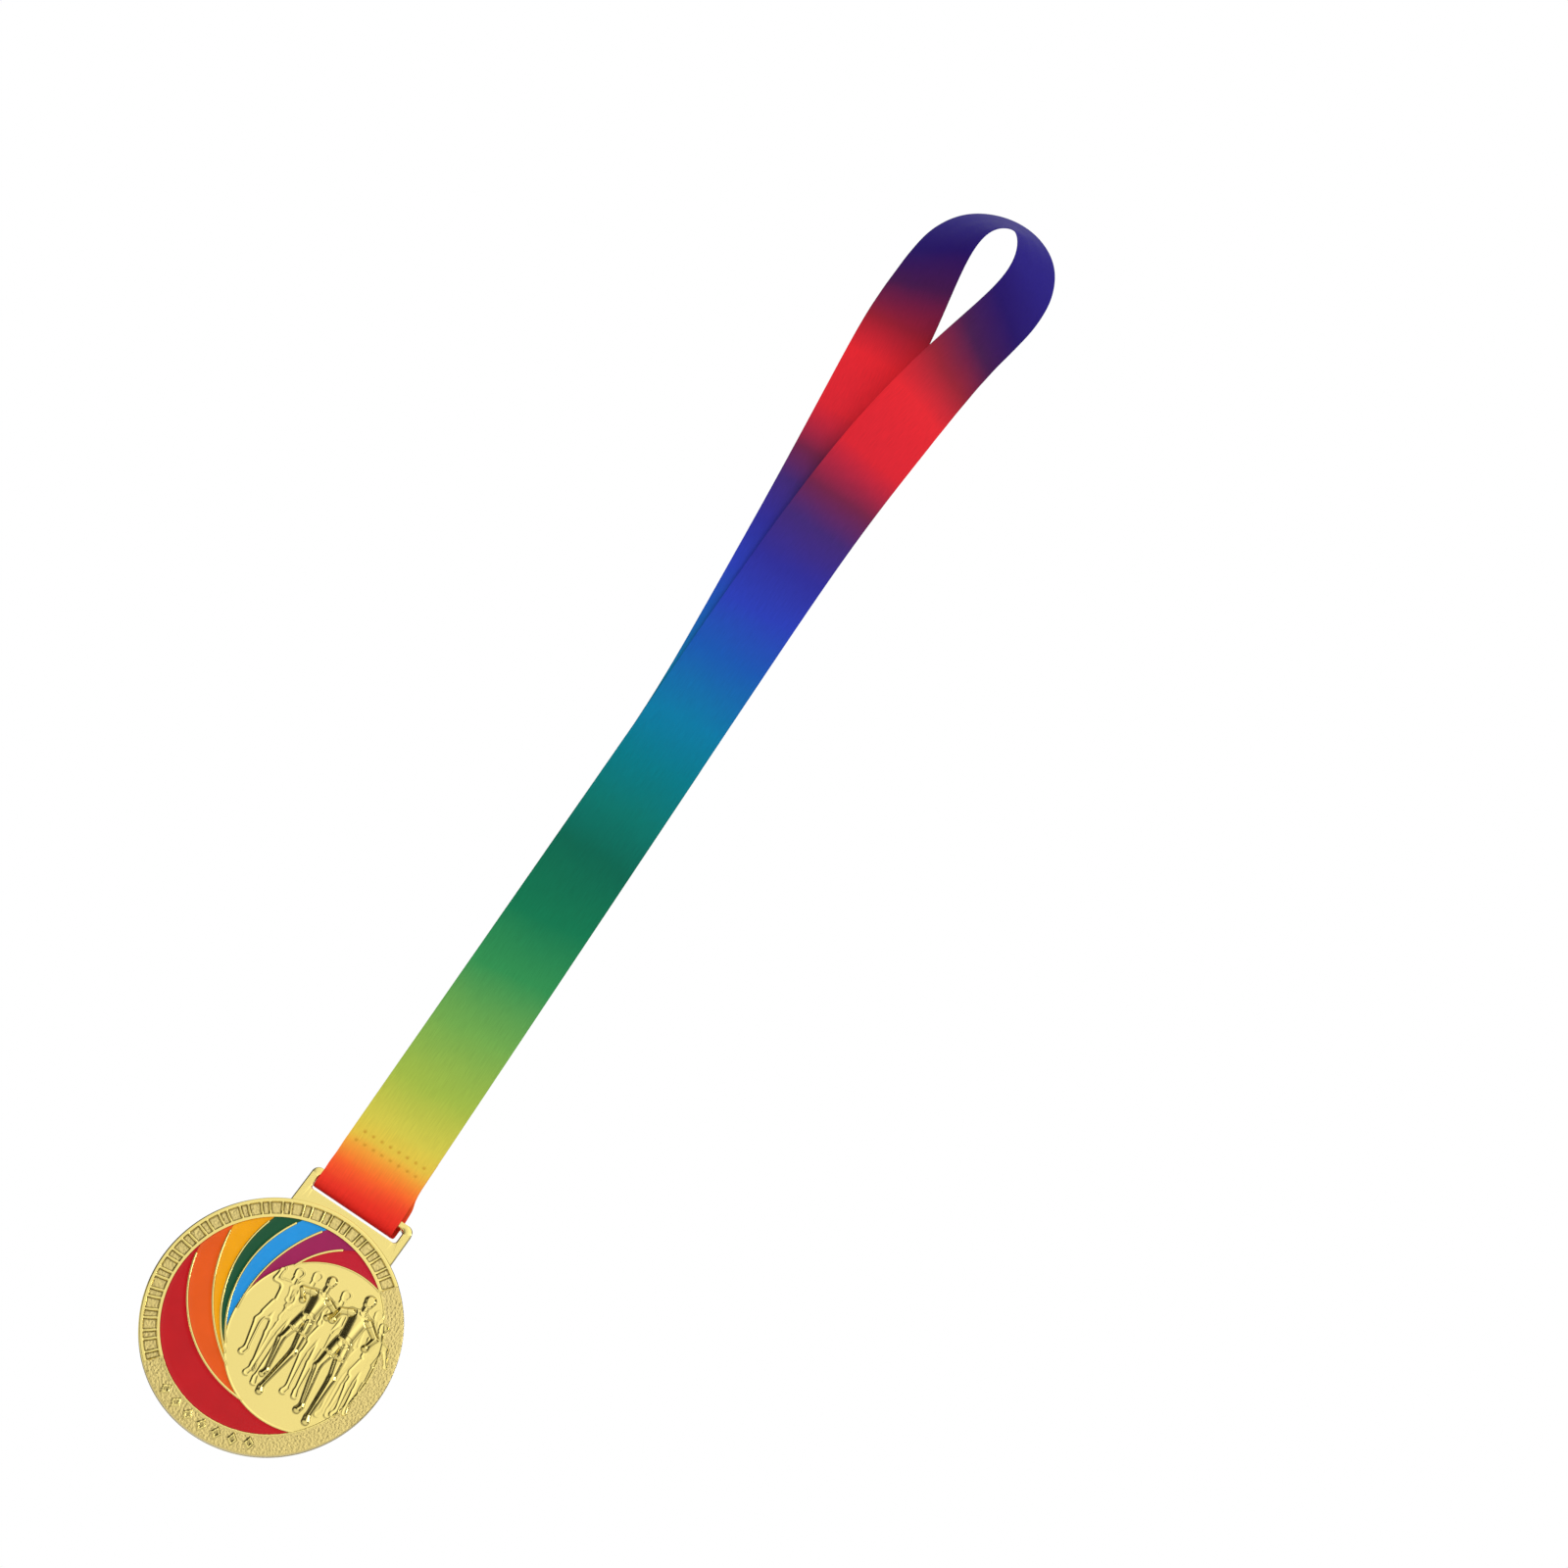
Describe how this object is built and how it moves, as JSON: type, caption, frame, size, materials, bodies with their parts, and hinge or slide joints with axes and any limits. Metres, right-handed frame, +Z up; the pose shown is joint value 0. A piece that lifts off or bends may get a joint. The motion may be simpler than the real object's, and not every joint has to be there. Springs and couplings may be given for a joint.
{
  "type": "finisher medal on ribbon",
  "caption": "Round gold-plated finisher medal with swept enamel cells and low-relief runners, hanging from a rainbow satin neck ribbon looped through its slot.",
  "frame": {"origin": "centre of the flat back of the round casting", "axes": "+Z up along the hanging ribbon, -Y out of the enamelled face, +X to the right of the face"},
  "size_m": [0.0744, 0.0229, 0.4844],
  "materials": {
    "gold_plate": "polished, gold coloured plating",
    "enamel_red": "glossy enamel",
    "enamel_orange": "glossy enamel",
    "enamel_yellow": "glossy enamel",
    "enamel_green": "glossy enamel",
    "enamel_blue": "glossy enamel",
    "enamel_magenta": "glossy enamel",
    "enamel_crimson": "glossy enamel",
    "satin_orange": "printed satin",
    "satin_green": "printed satin",
    "satin_teal": "printed satin",
    "satin_violet": "printed satin"
  },
  "bodies": {
    "neck_loop": {"ribbon_neck_loop": "satin_violet"},
    "straps": {"ribbon_front_strap": "satin_green", "ribbon_back_strap": "satin_teal"},
    "slot_fold": {"ribbon_slot_fold": "satin_orange"},
    "medal": {"medal_body": "gold_plate", "enamel_red": "enamel_red", "enamel_orange": "enamel_orange", "enamel_yellow": "enamel_yellow", "enamel_green": "enamel_green", "enamel_blue": "enamel_blue", "enamel_magenta": "enamel_magenta", "enamel_crimson": "enamel_crimson"}
  },
  "joints": [
    {"name": "ribbon_bend_upper", "type": "hinge", "parent": "neck_loop", "child": "straps", "pos_m": [-0.0072, -0.00137, 0.196], "axis": [1, 0, 0], "range_deg": [-90, 90]},
    {"name": "ribbon_bend_lower", "type": "hinge", "parent": "straps", "child": "slot_fold", "pos_m": [-0.002, -0.00137, 0.061], "axis": [1, 0, 0], "range_deg": [-75, 75]},
    {"name": "medal_swing", "type": "hinge", "parent": "slot_fold", "child": "medal", "pos_m": [0, -0.00137, 0.03905], "axis": [1, 0, 0], "range_deg": [-90, 90]}
  ]
}
